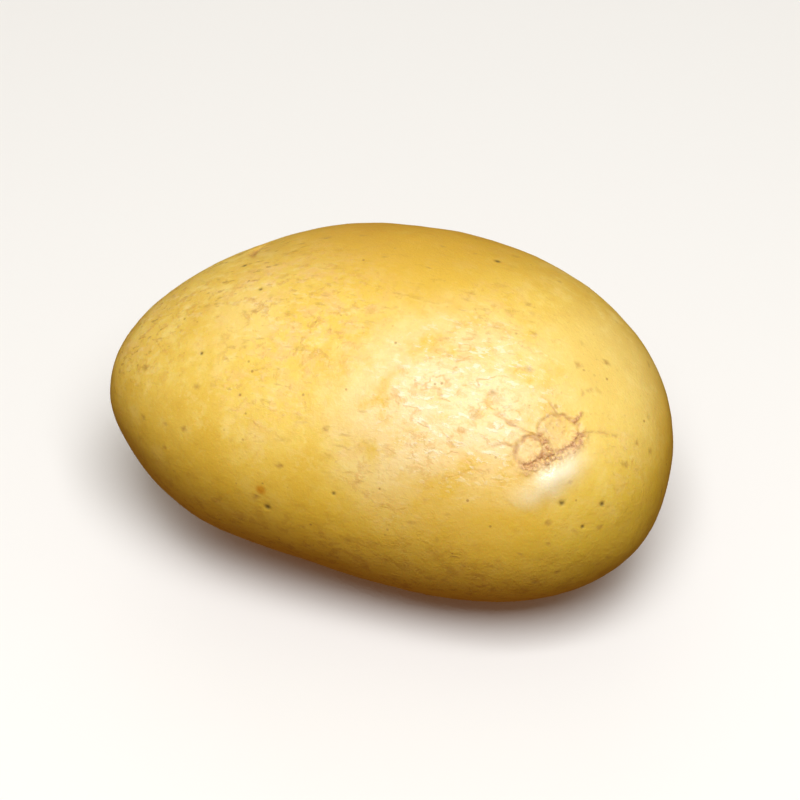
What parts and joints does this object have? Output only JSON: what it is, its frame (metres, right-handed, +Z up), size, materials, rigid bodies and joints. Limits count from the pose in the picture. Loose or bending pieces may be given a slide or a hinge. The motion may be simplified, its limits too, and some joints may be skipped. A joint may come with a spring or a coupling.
{
  "type": "potato",
  "caption": "Whole oval table potato with thin smooth yellow skin, shallow eyes and a small corky scar, lying on the flat spot it rests on.",
  "frame": {"origin": "on the surface it rests on, under the middle of its bounding box", "axes": "+X along its length to the broad rose end, +Z up, +Y across it towards the side that bulges out"},
  "size_m": [0.09, 0.062, 0.051],
  "materials": {
    "potato_skin": "thin, smooth, washed potato skin with a faint waxy sheen, fine brown specks and a corky scar"
  },
  "bodies": {
    "root": {"potato": "potato_skin"}
  },
  "joints": []
}
